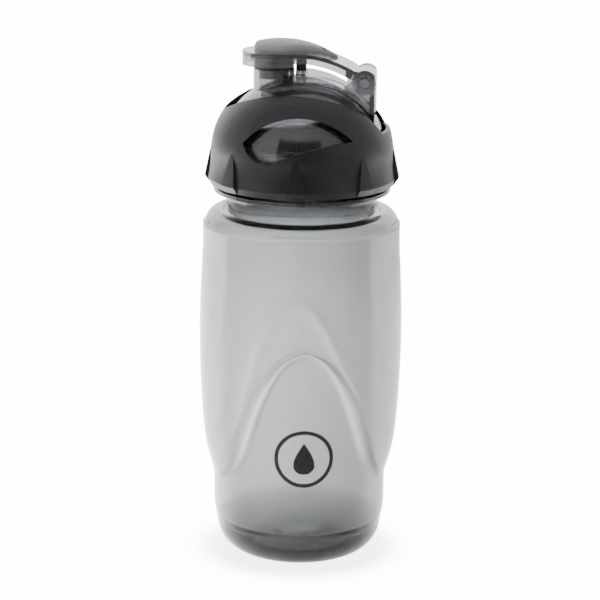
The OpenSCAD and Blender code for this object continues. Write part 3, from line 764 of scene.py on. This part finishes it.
def card_sheet(name, z, light):
    """A sheet of matt card that spans the stage; the table's colour is graded in depth and across
    with painted light and shade: a painted shadow in front of the bottle, lighter close behind it
    and to the left, darker further back and to the right.
    """
    card, tree = new_tree(name + "_card")
    shader = add(tree, "ShaderNodeBsdfPrincipled", {
        "Base Color": (FLOOR_ALBEDO, FLOOR_ALBEDO, FLOOR_ALBEDO, 1), "Roughness": 0.9,
        "Specular IOR Level": 0.0})
    if name == "table":
        place = add(tree, "ShaderNodeTexCoord")
        axis = add(tree, "ShaderNodeSeparateXYZ", {"Vector": place.outputs["Object"]})
        # painted shadow: the table's colour is darkened in front of the bottle
        near = graded(tree, axis.outputs["Y"], *TABLE_NEAR_PAINTED_SHADE, light.near_table_painted_shade, 1.0)
        # painted light and shade: lighter close behind the bottle, darker further back
        far = graded(tree, axis.outputs["Y"], *TABLE_FAR_PAINTED_LIGHT_SHADE)
        # painted light and shade: lighter to the left, darker to the right
        across = graded(tree, axis.outputs["X"], *TABLE_ACROSS_PAINTED_LIGHT_SHADE)
        table_painted_light_shade = maths(tree, "MULTIPLY", maths(tree, "MULTIPLY", near, far), across)
        share = FLOOR_ALBEDO * light.table / light.floor / light.fill
        tree.links.new(maths(tree, "MULTIPLY", table_painted_light_shade, share), shader.inputs["Base Color"])
    add(tree, "ShaderNodeOutputMaterial", {"Surface": shader.outputs["BSDF"]})
    span = FLOOR_SPAN_MM
    sheet = mesh_piece(name, [(-span, -span, z), (span, -span, z), (span, span, z),
                              (-span, span, z)], [(0, 1, 2, 3)])
    sheet.data.materials.append(card)
    return sheet


def studio_walls(scene, light):
    """Light walls all round, with a dark opening in front that is narrower at its foot."""
    world = bpy.data.worlds.new("studio")
    world.use_nodes = True
    scene.world = world
    tree = world.node_tree
    tree.nodes.clear()
    look = add(tree, "ShaderNodeTexCoord")
    axis = add(tree, "ShaderNodeSeparateXYZ", {"Vector": look.outputs["Generated"]})

    # the angle away from straight ahead, against half the opening's width, in radians
    ahead = maths(tree, "MULTIPLY", axis.outputs["Y"], -1.0)
    off = maths(tree, "ABSOLUTE", maths(tree, "ARCTAN2", axis.outputs["X"], ahead))
    jamb = add(tree, "ShaderNodeMapRange", {"Value": axis.outputs["Z"], "From Min": -0.12,
               "From Max": -0.03, "To Min": 0.28, "To Max": 0.55}).outputs["Result"]
    side = graded(tree, maths(tree, "SUBTRACT", off, jamb), -0.03, 0.03)
    wall = maths(tree, "MAXIMUM", side, graded(tree, axis.outputs["Z"], 0.45, 0.6))
    # the right wall stands in its own shade, and the ceiling is dim
    shade = graded(tree, axis.outputs["X"], -0.2, 0.7, light.front, light.front * light.shade)
    roof = graded(tree, axis.outputs["Z"], 0.55, 0.85, 1.0, light.roof)
    back = graded(tree, axis.outputs["Y"], 0.35, 0.75, 0.0, light.back)
    near = maths(tree, "MULTIPLY", wall, shade)
    lit = maths(tree, "MULTIPLY", maths(tree, "ADD", near, back), roof)
    sky = add(tree, "ShaderNodeBackground", {"Color": linear("#ffffff"),
              "Strength": maths(tree, "ADD", lit, STUDIO_DUSK)})
    add(tree, "ShaderNodeOutputWorld", {"Surface": sky.outputs["Background"]})


def overhead_lamps(scene, light, seen, mirrored):
    """Lamps that are kept to the sheets: the first throws the bottle's shadow on the floor,
    the second fills that shadow, and the last lights the table."""
    for name, share, wide, long, on in (
            ("floor_light", 1 - light.fill, light.floor_size, light.floor_size, seen),
            ("fill_light", light.fill, light.floor_size, light.floor_size, seen),
            ("table_light", light.fill, light.bank_width, light.bank_length, mirrored)):
        bank = bpy.data.lights.new(name, "AREA")
        bank.shape = "RECTANGLE"
        bank.size, bank.size_y = wide, long
        bank.spread = math.radians(light.bank_spread)
        bank.energy = light.floor * share * math.pi / FLOOR_ALBEDO * wide * long
        bank.use_shadow = name == "floor_light"
        lamp = bpy.data.objects.new(name, bank)
        middle = light.bank_front + long / 2 if on is mirrored else 0
        lamp.location = (0, middle, light.bank_height)
        lamp.visible_camera = lamp.visible_glossy = lamp.visible_transmission = False
        scene.collection.objects.link(lamp)
        lit = bpy.data.collections.new("lit_by_" + name)
        lit.objects.link(on)
        lamp.light_linking.receiver_collection = lit


def picture_camera(scene):
    """A long lens that looks down on the bottle, a little from its right."""
    turn, pitch, roll = CAMERA_TURN, CAMERA_PITCH, CAMERA_ROLL
    ahead = Vector((-math.sin(turn) * math.cos(pitch), math.cos(turn) * math.cos(pitch),
                    -math.sin(pitch)))
    right = Vector((math.cos(turn), math.sin(turn), 0))
    up = right.cross(ahead)
    right, up = (right * math.cos(roll) + up * math.sin(roll),
                 up * math.cos(roll) - right * math.sin(roll))
    lens = bpy.data.cameras.new("camera")
    lens.sensor_width = 36
    lens.lens = FOCAL_PX / PICTURE_PX * lens.sensor_width
    lens.shift_x = SHIFT_PX / PICTURE_PX
    lens.clip_start, lens.clip_end = 0.05, 30
    camera = bpy.data.objects.new("camera", lens)
    camera.matrix_world = Matrix((
        (right.x, up.x, -ahead.x, CAMERA_REACH * math.sin(turn)),
        (right.y, up.y, -ahead.y, -CAMERA_REACH * math.cos(turn)),
        (right.z, up.z, -ahead.z, CAMERA_HEIGHT),
        (0, 0, 0, 1)))
    scene.collection.objects.link(camera)
    scene.camera = camera


class BOTTLE_OT_stage(bpy.types.Operator):
    """Pale floor, soft studio lights and the camera"""

    bl_idname = "bottle.stage"
    bl_label = "Stage"

    def execute(self, context):
        scene = context.scene
        light = scene.bottle_light
        # the floor is pale card, which only the camera sees; everything else sees a grey
        # table just under it, so that the bottle mirrors no more light than a lit table has
        seen = card_sheet("floor", 0, light)
        mirrored = card_sheet("table", TABLE_DROP, light)
        seen.visible_glossy = seen.visible_transmission = seen.visible_diffuse = False
        seen.visible_shadow = mirrored.visible_camera = False
        studio_walls(scene, light)
        overhead_lamps(scene, light, seen, mirrored)
        picture_camera(scene)
        return {"FINISHED"}


class BOTTLE_PT_panel(bpy.types.Panel):
    bl_idname = "BOTTLE_PT_panel"
    bl_label = "Travel bottle"
    bl_space_type = "VIEW_3D"
    bl_region_type = "UI"
    bl_category = "Bottle"

    def draw(self, context):
        layout = self.layout
        for group in (getattr(context.scene, name) for name in GROUPS):
            for name in group.bl_rna.properties.keys():
                if name not in ("rna_type", "name"):
                    layout.prop(group, name)
        for step in STEPS:
            layout.operator(step.bl_idname)


STEPS = (BOTTLE_OT_stage, BOTTLE_OT_body, BOTTLE_OT_threads, BOTTLE_OT_mark, BOTTLE_OT_cap,
         BOTTLE_OT_lid)
GROUPS = {"bottle_sizes": BottleSizes, "bottle_colours": BottleColours,
          "bottle_light": BottleLight}
CLASSES = (*GROUPS.values(), *STEPS, BOTTLE_PT_panel)


def register():
    for cls in CLASSES:
        bpy.utils.register_class(cls)
    for name, group in GROUPS.items():
        setattr(bpy.types.Scene, name, bpy.props.PointerProperty(type=group))


def unregister():
    for name in GROUPS:
        delattr(bpy.types.Scene, name)
    for cls in reversed(CLASSES):
        bpy.utils.unregister_class(cls)


def main():
    register()
    for step in STEPS:
        area, name = step.bl_idname.split(".")
        getattr(getattr(bpy.ops, area), name)()


if __name__ == "__main__":
    main()
